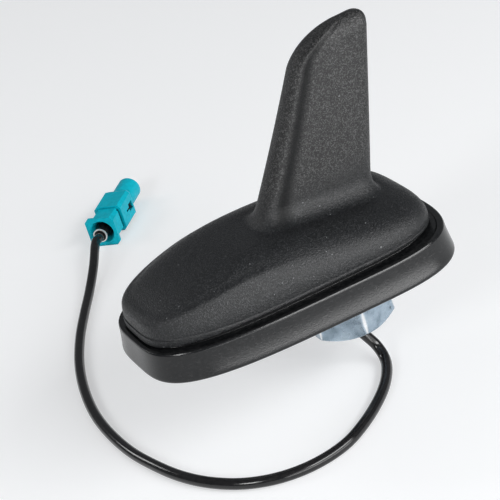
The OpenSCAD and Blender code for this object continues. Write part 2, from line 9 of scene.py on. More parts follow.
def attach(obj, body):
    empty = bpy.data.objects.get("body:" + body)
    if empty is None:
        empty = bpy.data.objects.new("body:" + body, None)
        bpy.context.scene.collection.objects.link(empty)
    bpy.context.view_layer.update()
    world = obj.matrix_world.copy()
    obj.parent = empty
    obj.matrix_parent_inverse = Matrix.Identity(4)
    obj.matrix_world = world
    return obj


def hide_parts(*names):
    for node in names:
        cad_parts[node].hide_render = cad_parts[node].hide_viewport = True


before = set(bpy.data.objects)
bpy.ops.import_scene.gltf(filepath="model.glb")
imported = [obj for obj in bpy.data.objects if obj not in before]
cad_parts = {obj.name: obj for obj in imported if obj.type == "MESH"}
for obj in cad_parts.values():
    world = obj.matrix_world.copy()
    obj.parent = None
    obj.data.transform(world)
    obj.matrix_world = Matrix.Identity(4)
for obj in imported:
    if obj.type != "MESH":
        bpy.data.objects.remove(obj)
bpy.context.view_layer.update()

MM = 0.001

# Sizes in millimetres, with powers and shares, as the part's source holds them
FOOT_NOSE, FOOT_TAIL, FOOT_WIDTH = 59.5, 27.5, 56.0
LIP_HEIGHT, WALL_LEAN, SEAL_LAND = 8.0, 1.9, 2.6
INSET_NOSE, INSET_TAIL, INSET_SIDE = 2.4, 3.0, 6.0
COVER_WALL, POD_HEIGHT, RIDGE_FALL = 2.0, 22.0, 7.2
SHOULDER_POWER, CROWN_POWER = 2.8, 1.9
TIP_HEIGHT, FIN_FRONT, FIN_REAR = 63.4, 18.2, 15.4
FRONT_SWEEP, REAR_SWEEP = 25.4, 12.0
FIN_BASE_T, FIN_TOP_T, FIN_FILLET = 9.6, 7.6, 4.6
TOE_FRONT, TOE_REAR = 0.35, 0.6
WIDEST_X, NOSE_POWER, TAIL_POWER, WIDENING = -6.4, 3.7, 3.5, 0.0034
RIM_Z, RIM_BAND, RIM_LOW, RIM_STEP, RIM_EDGE = LIP_HEIGHT + 0.4, 2.2, 0.5, 0.25, 0.05
LEDGE_Z, PLATE_TOP, LAND_RISE = LIP_HEIGHT - 0.7, 5.0, 0.7
SEAT_OUT, PLATE_INSET = 0.9, 1.4
RIDGE_FROM, RIDGE_TO, NOSE_DIP, DIP_FROM, DIP_LENGTH = -36.0, 35.0, 0.9, -10.0, 30.0
CAP_START, TIP_BACK, CAP_FRONT_POWER, CAP_REAR_POWER = 0.82, 21.0, 0.93, 2.5
CROWN_START, END_POWER = 0.9, 8.0
CABLE_D, FLOOR_Z = 3.0, -31.5
CABLE_Z = FLOOR_Z + CABLE_D / 2
BOARD_Z, PLUG_HEADING, PLUG_LENGTH = 7.6, math.radians(46.0), 28.0
PLUG_AT = np.array([-12.0, 137.0, FLOOR_Z + 5.1])
PLUG_AXIS = np.array([math.cos(PLUG_HEADING), math.sin(PLUG_HEADING), 0.0])
PLUG_REAR = PLUG_AT - PLUG_AXIS * PLUG_LENGTH / 2
FERRULE_D, FERRULE_OUT, FERRULE_RIM_T = 4.0, 2.2, 0.45
STUD_LENGTH, STUD_D = 16.5, 14.0
NUT_ACROSS, NUT_HEIGHT, NUT_TURN, NUT_CHAMFER = 22.0, 11.0, 22.5, 1.2
NUT_BOTTOM = -17.5
SCREW_PLACES = [(-40.0, 9.5), (-40.0, -9.5), (13.0, 14.5), (13.0, -14.5)]
BOSS_SHARES = [0.74, 0.74, 0.77, 0.77]
BOSS_D, PILOT_D, PILOT_DEPTH = 6.0, 2.2, 8.0

# Sizes that the source keeps inside its formulas, or that only the visible skins have
SKIN_FRONT, SKIN_REAR, SKIN_TIP = 1.5, 1.2, 1.5
NOSE_FROM, NOSE_EASE = 0.45, 0.5
VALLEY_AT, VALLEY_HALF, VALLEY_DEPTH = 0.155, 0.11, 0.55
CREASE_NOSE, CREASE_SIDE, CREASE_HALF, CREASE_RISE = 0.17, 0.41, 0.13, 0.42
CREASE_FROM, CREASE_EASE = 0.1, 0.6
LIP_STEP, FLARE, RIM_RADII = 0.12, np.array([0.55, 0.45, 1.0]), [0.1, 0.25, 0.25, 0.08, 0.08]
NUT_SHARPNESS, CORNER_WEAR, SWELL_WEAR, CHAMFER_WEAR, WEAR_AND_HIGHLIGHT_DEPTH = 18, 0.06, 0.32, 0.25, 0.25
SWELL_AT, SWELL_HALF = NUT_HEIGHT * 0.42, NUT_HEIGHT * 0.4
THREAD_GAP, BORE_LEAD_IN, NUT_FACE_IN = 0.05, 0.9, 1.0
BARE_EDGE, BARE_SIDE = 0.02, 0.05

# Points round each piece, and steps along it; the cover's are up its pod, fillet, fin and cap
COVER_ROUND, FOOT_ROUND, BOSS_ROUND, NUT_ROUND, CABLE_ROUND = 256, 320, 40, 360, 28
INSIDE_STEPS, OUTSIDE_STEPS = (24, 8, 10, 10), (72, 24, 40, 36)
NUT_STEPS, CABLE_STEPS, CORNER_STEPS, NEWTON_STEPS = 49, 12, 5, 8

# Camera that stands where the photograph was taken, in the aerial's own frame
VIEW_AZIMUTH, VIEW_ELEVATION, VIEW_ROLL = -19.95, 28.41, -17.71
FOCAL_PX, FRAME_PX, DISTANCE = 1799.0, 500.0, 480.0
NUT_PX = np.array([100.2, -67.9])
SENSOR, CLIP_NEAR, CLIP_FAR = 36.0, 0.01, 20.0

# Lights with their places, sizes in metres and powers in watts, and the room and floor round the aerial
LIGHTS = [
    ("key_softbox", (0.33, -0.61, 0.53), (0.75, 0.2), 4.6),
    ("right_softbox", (0.24, -0.81, 0.29), (1.25, 0.36), 2.8),
    ("low_softbox", (0.17, -0.83, 0.035), (1.26, 0.12), 3.2),
    ("rear_softbox", (-0.45, 0.55, 0.41), (0.2, 0.2), 0.85),
    ("front_softbox", (-0.62, -0.36, 0.42), (0.2, 0.2), 1.7)]
LIGHTS_TARGET = (-0.01, 0.0, 0.02)
ROOM_COLOUR, ROOM_LIGHT, ROOM_SEEN = (0.92, 0.95, 1.0), 0.22, 1.0
FLOOR_COLOUR, FLOOR_TOP_UP, FLOOR_HALF = (0.62, 0.63, 0.64), 0.42, 3.0

# Plain finishes: how metallic, the dark clouds' share of the colour, and the clouds' scale
METAL, PLASTIC = (1.0, 0.85, 800.0), (0.0, 0.8, 600.0)
SMOOTHER, ROUGHER = 0.06, 0.08


def unit(v):
    """The vector, or each row of vectors, at length one."""
    return v / np.linalg.norm(v, axis=-1, keepdims=True)


def add_object(name, data):
    """New object in the scene, at the origin."""
    made = bpy.data.objects.new(name, data)
    bpy.context.collection.objects.link(made)
    return made


def stand(thing, right, up, back, at):
    """Puts an object at a point in metres, with its own axes along right, up and back."""
    pose = np.eye(4)
    pose[:3, 0], pose[:3, 1], pose[:3, 2], pose[:3, 3] = right, up, back, at
    thing.matrix_world = Matrix(pose.tolist())


def place_camera():
    """Looks back along the fitted direction, turned by the roll, with the nut's underside at its pixel."""
    azimuth, elevation, roll = np.radians([VIEW_AZIMUTH, VIEW_ELEVATION, VIEW_ROLL])
    back = np.array([math.sin(azimuth) * math.cos(elevation), -math.cos(azimuth) * math.cos(elevation),
                     math.sin(elevation)])
    level = unit(np.cross([0, 0, 1], back))
    upright = np.cross(back, level)
    right = math.cos(roll) * level + math.sin(roll) * upright
    up = math.cos(roll) * upright - math.sin(roll) * level
    shift = NUT_PX * DISTANCE / FOCAL_PX
    at = np.array([0, 0, NUT_BOTTOM]) - right * shift[0] - up * shift[1] + back * DISTANCE
    data = bpy.data.cameras.new("camera")
    data.sensor_width = SENSOR
    data.lens = SENSOR * FOCAL_PX / FRAME_PX
    data.clip_start, data.clip_end = CLIP_NEAR, CLIP_FAR
    camera = add_object("camera", data)
    stand(camera, right, up, back, at * MM)
    bpy.context.scene.camera = camera


def catmull(points, steps):
    """Smooth curve through the points: on each span the cubic whose slopes at its ends are half the step from
    the point before to the point after."""
    p = np.vstack([points[:1], points, points[-1:]])
    u = np.linspace(0, 1, steps, endpoint=False)[None, :, None]
    a, b, c, d = (p[k:len(p) - 3 + k][:, None, :] for k in range(4))
    curve = 0.5 * (2 * b + (c - a) * u + (2 * a - 5 * b + 4 * c - d) * u ** 2
                   + (3 * b - a - 3 * c + d) * u ** 3)
    return np.vstack([curve.reshape(-1, 3), points[-1:]])


def surface(name, rows, material, loop=False, caps=False):
    """Mesh of a grid of closed rows: quads between neighbouring rows, and from the last row back to the first
    when loop is set. Caps close both end rows with a fan to their middle."""
    rows = np.asarray(rows, float) * MM
    m, n = rows.shape[:2]
    verts = rows.reshape(-1, 3)
    k = np.arange(m if loop else m - 1)[:, None]
    i = np.arange(n)[None, :]
    j, l = (i + 1) % n, (k + 1) % m
    quads = np.stack([k * n + i, k * n + j, l * n + j, l * n + i], -1).reshape(-1, 4)
    fans = np.zeros((0, 3), int)
    if caps:
        verts = np.vstack([verts, rows[0].mean(0), rows[-1].mean(0)])
        a, b = np.arange(n), (np.arange(n) + 1) % n
        first = np.stack([b, a, np.full(n, m * n)], -1)
        last = np.stack([a + (m - 1) * n, b + (m - 1) * n, np.full(n, m * n + 1)], -1)
        fans = np.vstack([first, last])
    return mesh_piece(name, verts, quads, fans, material)


def mesh_piece(name, verts, quads, tris, material):
    """Smooth mesh object at the origin from arrays of corners, four-sided faces and three-sided faces."""
    mesh = bpy.data.meshes.new(name)
    loops = np.concatenate([quads.ravel(), tris.ravel()]).astype(np.int32)
    sizes = np.concatenate([np.full(len(quads), 4), np.full(len(tris), 3)]).astype(np.int32)
    starts = np.concatenate([[0], np.cumsum(sizes)[:-1]]).astype(np.int32)
    mesh.vertices.add(len(verts))
    mesh.vertices.foreach_set("co", verts.astype(np.float32).ravel())
    mesh.loops.add(len(loops))
    mesh.loops.foreach_set("vertex_index", loops)
    mesh.polygons.add(len(sizes))
    mesh.polygons.foreach_set("loop_start", starts)
    mesh.update(calc_edges=True)
    mesh.validate()
    mesh.polygons.foreach_set("use_smooth", np.ones(len(mesh.polygons), bool))
    mesh.materials.append(material)
    return add_object(name, mesh)


def point_values(piece, name, values):
    """One number for each corner of the mesh, which a material can read."""
    layer = piece.data.attributes.new(name, "FLOAT", "POINT")
    layer.data.foreach_set("value", values.astype(np.float32).ravel())


def rounded_rows(rows, radii):
    """Rows with their corners eased: each row is replaced by a quadratic curve that leaves one leg and joins
    the other a radius away from the corner, or just short of half the leg where that is nearer."""
    rows = np.asarray(rows, float)
    before, after = np.roll(rows, 1, 0) - rows, np.roll(rows, -1, 0) - rows
    length_b = np.linalg.norm(before, axis=2, keepdims=True)
    length_a = np.linalg.norm(after, axis=2, keepdims=True)
    r = np.asarray(radii, float)[:, None, None]
    half_leg = 0.49
    start = rows + before * np.minimum(r / length_b, half_leg)
    end = rows + after * np.minimum(r / length_a, half_leg)
    u = np.linspace(0, 1, CORNER_STEPS)[None, :, None, None]
    curve = (1 - u) ** 2 * start[:, None] + 2 * u * (1 - u) * rows[:, None] + u ** 2 * end[:, None]
    return curve.reshape(-1, rows.shape[1], 3)


# Shapes that the cover and foot share

def mix(a, b, k):
    """From a at k = 0 to b at k = 1."""
    return a + (b - a) * k


def ease(u):
    """Rises in an S from nothing at 0 to one at 1: u^2 (3 - 2 u)."""
    u = np.clip(u, 0, 1)
    return u * u * (3 - 2 * u)


def hump(u):
    """Squared cosine: one at 0, falling to nothing at -1 and at 1."""
    return np.cos(np.clip(u, -1, 1) * math.pi / 2) ** 2


def angles(n):
    """Even angles round a full turn, none of them on an axis when n is a multiple of four."""
    return (np.arange(n) + 0.5) * 2 * math.pi / n


def level_row(line, z):
    """Points of a plan outline at a height, or at a height for each point."""
    return np.stack([line[0], line[1], np.broadcast_to(z, line[0].shape)], -1)


def circle(a, r, at=(0.0, 0.0)):
    """Plan outline of radius r, or of a radius for each angle."""
    return at[0] + r * np.cos(a), at[1] + r * np.sin(a)


def ridge(x):
    """Height of the pod's ridge: an S-shaped fall towards the tail, and a slight dip towards the nose."""
    dip = np.clip((DIP_FROM - x) / DIP_LENGTH, 0, None)
    return POD_HEIGHT - RIDGE_FALL * ease((x - RIDGE_FROM) / (RIDGE_TO - RIDGE_FROM)) - NOSE_DIP * dip ** 2


def plan(a, nose, tail, half, mid, p_nose, p_tail, widen):
    """Plan outline at angle a: two superellipse halves that meet at mid, widening towards the tail."""
    c, s = np.cos(a), np.sin(a)
    p = np.where(c < 0, p_nose, p_tail)
    r = (np.abs(c) ** p + np.abs(s) ** p) ** (-1 / p)
    dx = c * r * np.where(c < 0, mid + nose, tail - mid)
    return mid + dx, half * s * r * (1 + widen * dx)


def foot_line(a, d_nose, d_tail, d_side):
    """The foot's outline, drawn in by its own distance at the nose, tail and sides."""
    return plan(a, FOOT_NOSE - d_nose, FOOT_TAIL - d_tail, FOOT_WIDTH / 2 - d_side, WIDEST_X,
                NOSE_POWER, TAIL_POWER, WIDENING)


def cover_line(a, d):
    """The cover's outline, drawn in by one distance all round."""
    return foot_line(a, INSET_NOSE + d, INSET_TAIL + d, INSET_SIDE + d)


def near_nose(a):
    """One at the nose, falling in an S to nothing along the sides."""
    return ease((-np.cos(a) - NOSE_FROM) / NOSE_EASE)


def rim_top(a):
    """Height where the pod's curve starts: above a tall band at the nose, and a low one along the sides."""
    return RIM_Z + mix(RIM_LOW, RIM_BAND, near_nose(a))


# The cover

def blade(a, nose, tail, half):
    """Section of the fin at angle a: |x|^END_POWER + |y|^2 = 1 in shares of its half length and thickness,
    so the sides lie flat and both ends are round. Newton's steps find the radius from outside."""
    c, s = np.cos(a), np.sin(a)
    r = 1 / np.maximum(np.abs(c), np.abs(s))
    for _ in range(NEWTON_STEPS):
        end, side = (np.abs(c) * r) ** END_POWER, (s * r) ** 2
        r = r - r * (end + side - 1) / (END_POWER * end + 2 * side)
    return (nose + tail) / 2 + c * r * (tail - nose) / 2, s * r * half


def fin_line(a, q, g, skin, valley=0.0):
    """Section of the fin at height share q, grown by g: its ends run up the two swept edges, then close over
    the rounded tip along a quarter turn. A shallow valley behind the leading edge leaves it as a bead: a
    squared cosine across the distance from that edge, which fades into the fillet and the tip."""
    turned = np.arcsin(np.clip((q - CAP_START) / (1 - CAP_START), 0, 1))
    lost = 1 - np.cos(turned)
    front_top = FRONT_SWEEP - FIN_FRONT + skin * SKIN_FRONT
    rear_top = FIN_REAR + REAR_SWEEP - skin * SKIN_REAR
    nose_x = (mix(-FIN_FRONT, FRONT_SWEEP - FIN_FRONT, q) + skin * SKIN_FRONT
              + (TIP_BACK - front_top) * lost ** CAP_FRONT_POWER - g * TOE_FRONT)
    tail_x = (mix(FIN_REAR, FIN_REAR + REAR_SWEEP, q) - skin * SKIN_REAR
              - (rear_top - TIP_BACK) * lost ** CAP_REAR_POWER + g * TOE_REAR)
    crown = np.clip((q - CROWN_START) / (1 - CROWN_START), 0, 1)
    half = (mix(FIN_BASE_T, FIN_TOP_T, q) / 2 - skin) * np.sqrt(1 - crown ** 2) + g
    x, y = blade(a, nose_x, tail_x, half)
    chord = FIN_FRONT + FIN_REAR + (REAR_SWEEP - FRONT_SWEEP) * q
    fade = np.clip(1 - g / FIN_FILLET, 0, 1) * (1 - lost) ** 2
    low = valley * fade * hump(((x - nose_x) / chord - VALLEY_AT) / VALLEY_HALF)
    return x, y - np.sign(y) * low


def pod_rows(k, a, skin, crease):
    """Pod between its rim, k = 0, and the fin's fillet, k = 1: the plan eases from one outline to the other
    while the height follows a superellipse quarter. The crease is a squared cosine across k that adds, up and
    out alike, along the shoulder: low at the nose, higher along the sides, and gone by the pod's middle."""
    k, a = k[:, None], a[None, :]
    up = np.sin(k * math.pi / 2) ** (2 / SHOULDER_POWER)
    out = np.clip(np.cos(k * math.pi / 2), 0, 1) ** (2 / CROWN_POWER)
    x_in, y_in = fin_line(a, 0.0, FIN_FILLET, skin)
    x_out, y_out = cover_line(a, RIM_STEP * near_nose(a) + skin)
    x, y = mix(x_in, x_out, out), mix(y_in, y_out, out)
    z = mix(rim_top(a), ridge(x) - skin, up)
    across = (k - mix(CREASE_SIDE, CREASE_NOSE, near_nose(a))) / CREASE_HALF
    rise = crease * hump(across) * ease((-np.cos(a) - CREASE_FROM) / CREASE_EASE)
    reach = np.hypot(x_out - x_in, y_out - y_in)
    return np.stack([x + rise * (x_out - x_in) / reach, y + rise * (y_out - y_in) / reach, z + rise], -1)


def fin_rows(q, g, a, skin, valley):
    """Fin at height shares q, with the fillet's growth g; each height runs from the ridge to the tip."""
    x, y = fin_line(a[None, :], q[:, None], g[:, None], skin, valley)
    return np.stack([x, y, mix(ridge(x) - skin, TIP_HEIGHT - SKIN_TIP * skin, q[:, None])], -1)


def cover_rows(steps, skin=0.0, crease=0.0, valley=0.0):
    """Rows from the rim over the pod, the fillet, the fin and its closing cap, a skin's depth under the
    outside. Rows gather towards the end of the cap, where the outline closes fastest."""
    pod, fillet, fin, cap = steps
    a = angles(COVER_ROUND)
    rise = TIP_HEIGHT - POD_HEIGHT
    turned = np.linspace(0, math.pi / 2, fillet + 1)[1:]
    straight = np.linspace(FIN_FILLET / rise, CAP_START, fin + 1)[1:]
    closing = mix(CAP_START, 1, np.sin(np.linspace(0, math.pi / 2, cap + 1)[1:-1]))
    shares = np.concatenate([FIN_FILLET * (1 - np.cos(turned)) / rise, straight, closing])
    growth = np.concatenate([FIN_FILLET * (1 - np.sin(turned)), np.zeros(fin + cap - 1)])
    return np.concatenate([pod_rows(np.linspace(0, 1, pod + 1), a, skin, crease),
                           fin_rows(shares, growth, a, skin, valley)])


def make_cover(material):
    """Hollow moulding: rows run down the inside from the fin's tip to the lower edge, then up the outside
    over the rim band and its small step to the tip. The valley's depth goes to the material, which paints
    shade into the valley."""
    a = angles(COVER_ROUND)
    inside = cover_rows(INSIDE_STEPS, skin=COVER_WALL)[::-1]
    top = rim_top(a)
    rim = [level_row(cover_line(a, COVER_WALL), top), level_row(cover_line(a, COVER_WALL), RIM_Z),
           level_row(cover_line(a, 0.0), RIM_Z), level_row(cover_line(a, 0.0), top - RIM_EDGE),
           level_row(cover_line(a, RIM_STEP * near_nose(a)), top)]
    edge = rounded_rows(rim, RIM_RADII)
    outside = cover_rows(OUTSIDE_STEPS, crease=CREASE_RISE, valley=VALLEY_DEPTH)[1:]
    cover = surface("cover", np.concatenate([inside, edge, outside]), material, caps=True)
    filled = cover_rows(OUTSIDE_STEPS, crease=CREASE_RISE)[1:]
    # The valley's depth, as a share of its full depth, is the mask for the painted shade in the valley
    low = np.clip(np.abs(filled[..., 1] - outside[..., 1]) / VALLEY_DEPTH, 0, 1)
    before, ends = np.zeros((len(inside) + len(edge)) * COVER_ROUND), [0, 0]
    point_values(cover, "valley", np.concatenate([before, low.ravel(), ends]))
    return cover


def make_bosses(material):
    """Screw bosses under the cover: each a revolved profile with a blind pilot hole, its top in the wall."""
    a = angles(BOSS_ROUND)
    bosses = []
    for k, (place, share) in enumerate(zip(SCREW_PLACES, BOSS_SHARES)):
        top = mix(RIM_Z, float(ridge(place[0])), share)
        profile = [(PILOT_D / 2, PLATE_TOP + PILOT_DEPTH), (PILOT_D / 2, PLATE_TOP), (BOSS_D / 2, PLATE_TOP),
                   (BOSS_D / 2, top)]
        rows = [level_row(circle(a, r, place), z) for r, z in profile]
        bosses.append(surface("boss_%d" % k, rows, material, caps=True))
    return bosses


# Foot, nut and lead

def make_foot(material):
    """Rubber foot: its section is a closed loop of outlines with eased corners, from the sealing land up the
    flared wall, over the rounded lip to the ledge, up the cover's seat and down inside."""
    a = angles(FOOT_ROUND)
    all_round = np.ones(3)
    lean = WALL_LEAN * FLARE
    # The lip reaches in almost to the cover at nose and tail, and stays narrow along the sides
    lip_in = np.array([INSET_NOSE - 0.3, INSET_TAIL - 0.6, lean[2] + 0.75])
    seat_in = COVER_WALL + 1.2
    at_ends = np.maximum(near_nose(a), near_nose(math.pi - a))
    ledge = mix(LEDGE_Z, LIP_HEIGHT - LIP_STEP, at_ends)
    # Distance in from the foot's outline, or the cover's; height; radius of the corner
    wall = [
        (0.5 * all_round, 0.0, 0.3), (0.0 * all_round, 0.6, 0.5), (lean * 0.35, 2.8, 1.1),
        (lean * 0.64, 5.0, 1.1), (lean * 0.82, LIP_HEIGHT - 1.0, 1.1), (lean * 0.87, LIP_HEIGHT - 0.42, 0.12),
        (lean + 0.05, LIP_HEIGHT, 0.12), (lip_in, LIP_HEIGHT, 0.12), (lip_in + 0.3, ledge, 0.2)]
    seat = [
        (SEAT_OUT, ledge, 0.2), (SEAT_OUT, RIM_Z, 0.2), (seat_in, RIM_Z, 0.2), (seat_in, PLATE_TOP, 0.2),
        (PLATE_INSET, PLATE_TOP, 0.2), (PLATE_INSET, LAND_RISE + 0.4, 0.2)]
    land = [((SEAL_LAND + 0.6) * all_round, LAND_RISE, 0.3), (SEAL_LAND * all_round, 0.0, 0.2)]
    rows = [level_row(foot_line(a, *d), z) for d, z, _ in wall]
    rows += [level_row(cover_line(a, d), z) for d, z, _ in seat]
    rows += [level_row(foot_line(a, *d), z) for d, z, _ in land]
    radii = [radius for _, _, radius in wall + seat + land]
    return surface("rubber_foot", rounded_rows(rows, radii), material, loop=True)


def make_nut(material):
    """Hexagon nut: at each height the hexagon's radius is held under a cutting radius, which runs in at both
    chamfers and, less, across the middle of each corner. Where it cuts, the corner is painted near white:
    partly wear, partly a painted highlight."""
    a = angles(NUT_ROUND)
    z = np.linspace(0, NUT_HEIGHT, NUT_STEPS)[:, None]
    across = np.abs((a - math.radians(NUT_TURN)) % (math.pi / 3) - math.pi / 6)
    flat = NUT_ACROSS / 2 / np.cos(across)[None, :]
    corner = NUT_ACROSS / 2 / math.cos(math.pi / 6)
    end = np.clip(1 - np.minimum(z, NUT_HEIGHT - z) / NUT_CHAMFER, 0, 1)
    swell = np.clip(1 - ((z - SWELL_AT) / SWELL_HALF) ** 2, 0, 1)
    cut = corner - CORNER_WEAR - SWELL_WEAR * swell - (corner - NUT_ACROSS / 2 + CHAMFER_WEAR) * end
    r = -np.log(np.exp(-NUT_SHARPNESS * flat) + np.exp(-NUT_SHARPNESS * cut)) / NUT_SHARPNESS
    outside = level_row(circle(a, r), z)
    bore = [(THREAD_GAP, NUT_HEIGHT), (THREAD_GAP, BORE_LEAD_IN), (BORE_LEAD_IN, 0.0)]
    inside = [level_row(circle(a, STUD_D / 2 + gap), height) for gap, height in bore]
    low_face = level_row(circle(a, STUD_D / 2 + NUT_FACE_IN), 0.0)
    rows = np.concatenate([[low_face], outside, inside]) + np.array([0, 0, NUT_BOTTOM])
    nut = surface("zinc_nut", rows, material, loop=True)
    # Painted highlight, partly wear: the cut share of each corner is marked for a near-white colour
    bright = np.clip((flat - cut) / WEAR_AND_HIGHLIGHT_DEPTH, 0, 1) * (end <= 0)
    point_values(nut, "wear_and_painted_highlight", np.pad(bright, ((1, len(bore)), (0, 0))))
    return nut


# Middle line of the lead in millimetres, from the board down the stud and over the floor into the plug
ROUTE = np.array([
    (0, 0, BOARD_Z), (0, 0, 2), (0, 0, -8), (0, 0, -15), (0, 0, -18), (1.6, -0.6, -22.4),
    (3.8, -3, -27.2), (3.4, -7, CABLE_Z + 0.3), (0.6, -12.2, CABLE_Z), (-3.8, -17.6, CABLE_Z),
    (-9.5, -22.6, CABLE_Z), (-16, -27, CABLE_Z), (-23, -30.4, CABLE_Z), (-30.5, -31.6, CABLE_Z),
    (-38, -30.8, CABLE_Z), (-45, -28, CABLE_Z), (-51.5, -23, CABLE_Z), (-57, -15.8, CABLE_Z),
    (-61, -7.5, CABLE_Z), (-63.8, 2, CABLE_Z), (-65.9, 13, CABLE_Z), (-66.5, 26, CABLE_Z),
    (-65.5, 39, CABLE_Z), (-62.5, 53, CABLE_Z), (-58, 66.5, CABLE_Z), (-52, 79.5, CABLE_Z),
    (-45.5, 91, CABLE_Z), (-39, 101.5, CABLE_Z + 0.3), (-32.5, 111.5, CABLE_Z + 2),
    PLUG_REAR - 7 * PLUG_AXIS, PLUG_REAR - 3.4 * PLUG_AXIS, PLUG_REAR + 5 * PLUG_AXIS], float)


def make_cable(material):
    """Round tube carried along the route; its section is turned as little as possible from point to point."""
    path = catmull(ROUTE, CABLE_STEPS)
    heads = np.gradient(path, axis=0)
    heads[0], heads[-1] = (0, 0, -1), PLUG_AXIS
    heads = unit(heads)
    side, sides = np.array([0.8, 0.6, 0.0]), []
    for head in heads:
        side = unit(side - head * side.dot(head))
        sides.append(side)
    sides = np.array(sides)
    across = np.cross(heads, sides)
    a = angles(CABLE_ROUND)[None, :, None]
    rows = path[:, None] + (sides[:, None] * np.cos(a) + across[:, None] * np.sin(a)) * CABLE_D / 2
    return surface("lead", rows, material, caps=True), path


# Nodes that the finishes are made of

def shader(name, colour, roughness, metallic=0.0, **sockets):
    """Material with one principled shader whose plain values are set on its own sockets."""
    material = bpy.data.materials.new(name)
    material.use_nodes = True
    bsdf = material.node_tree.nodes["Principled BSDF"]
    bsdf.inputs["Base Color"].default_value = (*colour, 1.0)
    bsdf.inputs["Roughness"].default_value = roughness
    bsdf.inputs["Metallic"].default_value = metallic
    for key, value in sockets.items():
        bsdf.inputs[key.replace("_", " ")].default_value = value
    return material, material.node_tree, bsdf


def node(tree, kind, links=None, **values):
    """Adds a node, sets its properties and sockets, and joins the given inputs."""
    made = tree.nodes.new(kind)
    for key, value in values.items():
        if hasattr(made, key):
            setattr(made, key, value)
        else:
            made.inputs[key.replace("_", " ")].default_value = value
    for key, source in (links or {}).items():
        tree.links.new(source, made.inputs[key])
    return made


def feed(tree, bsdf, **sources):
    """Joins each source to the shader's socket of its name."""
    for key, source in sources.items():
        tree.links.new(source, bsdf.inputs[key.replace("_", " ")])


def object_coords(tree):
    """The object's own coordinates, in metres."""
    return node(tree, "ShaderNodeTexCoord").outputs["Object"]


def point_value(tree, name):
    """Reads the numbers that point_values wrote on the mesh."""
    return node(tree, "ShaderNodeAttribute", attribute_name=name).outputs["Fac"]


def speckle(tree, scale, detail=2.0, roughness=0.5, vector=None):
    """Noise over the object's own coordinates, or those given, in cycles per metre."""
    return node(tree, "ShaderNodeTexNoise", {"Vector": vector or object_coords(tree)}, Scale=scale,
                Detail=detail, Roughness=roughness).outputs["Fac"]


def ramp(tree, source, stops):
    """Colours along a source, from stops of a position and a colour."""
    made = node(tree, "ShaderNodeValToRGB", {"Fac": source})
    elements = made.color_ramp.elements
    while len(elements) < len(stops):
        elements.new(0.5)
    for element, (position, colour) in zip(elements, stops):
        element.position = position
        element.color = (*colour, 1.0)
    return made.outputs["Color"]


def span(tree, source, start, end, low=0.0, high=1.0):
    """Carries the range from start to end over to the range from low to high, and stays at its ends."""
    made = node(tree, "ShaderNodeMapRange", {"Value": source})
    for key, value in (("From Min", start), ("From Max", end), ("To Min", low), ("To Max", high)):
        made.inputs[key].default_value = value
    return made.outputs["Result"]


def spread(tree, source, low, high):
    """Stretches the middle of a noise over the range from low to high."""
    return span(tree, source, 0.35, 0.65, low, high)


def blend(tree, factor, first, second):
    """Goes from the first colour to the second by the factor; each is a socket or three numbers."""
    made = node(tree, "ShaderNodeMix", {"Factor": factor}, data_type="RGBA")
    for key, colour in (("A", first), ("B", second)):
        if isinstance(colour, tuple):
            made.inputs[key].default_value = (*colour, 1.0)
        else:
            tree.links.new(colour, made.inputs[key])
    return made.outputs["Result"]


def vector_math(tree, operation, first, second):
    """Vector node on a socket and a constant or a second socket; the scale takes its factor from a socket."""
    made = node(tree, "ShaderNodeVectorMath", operation=operation)
    for key, value in ((0, first), ("Scale" if operation == "SCALE" else 1, second)):
        if isinstance(value, tuple):
            made.inputs[key].default_value = value
        else:
            tree.links.new(value, made.inputs[key])
    return made.outputs["Value" if operation in ("DOT_PRODUCT", "DISTANCE") else "Vector"]


def math_node(tree, operation, first, second):
    """Number node on a socket and a second socket or a constant."""
    made = node(tree, "ShaderNodeMath", {0: first}, operation=operation)
    if isinstance(second, float):
        made.inputs[1].default_value = second
    else:
        tree.links.new(second, made.inputs[1])
    return made.outputs["Value"]


def bump(tree, bsdf, height, depth, strength=1.0):
    """Fine relief, its depth in metres."""
    made = node(tree, "ShaderNodeBump", {"Height": height}, Distance=depth, Strength=strength)
    feed(tree, bsdf, Normal=made.outputs["Normal"])


# Finishes

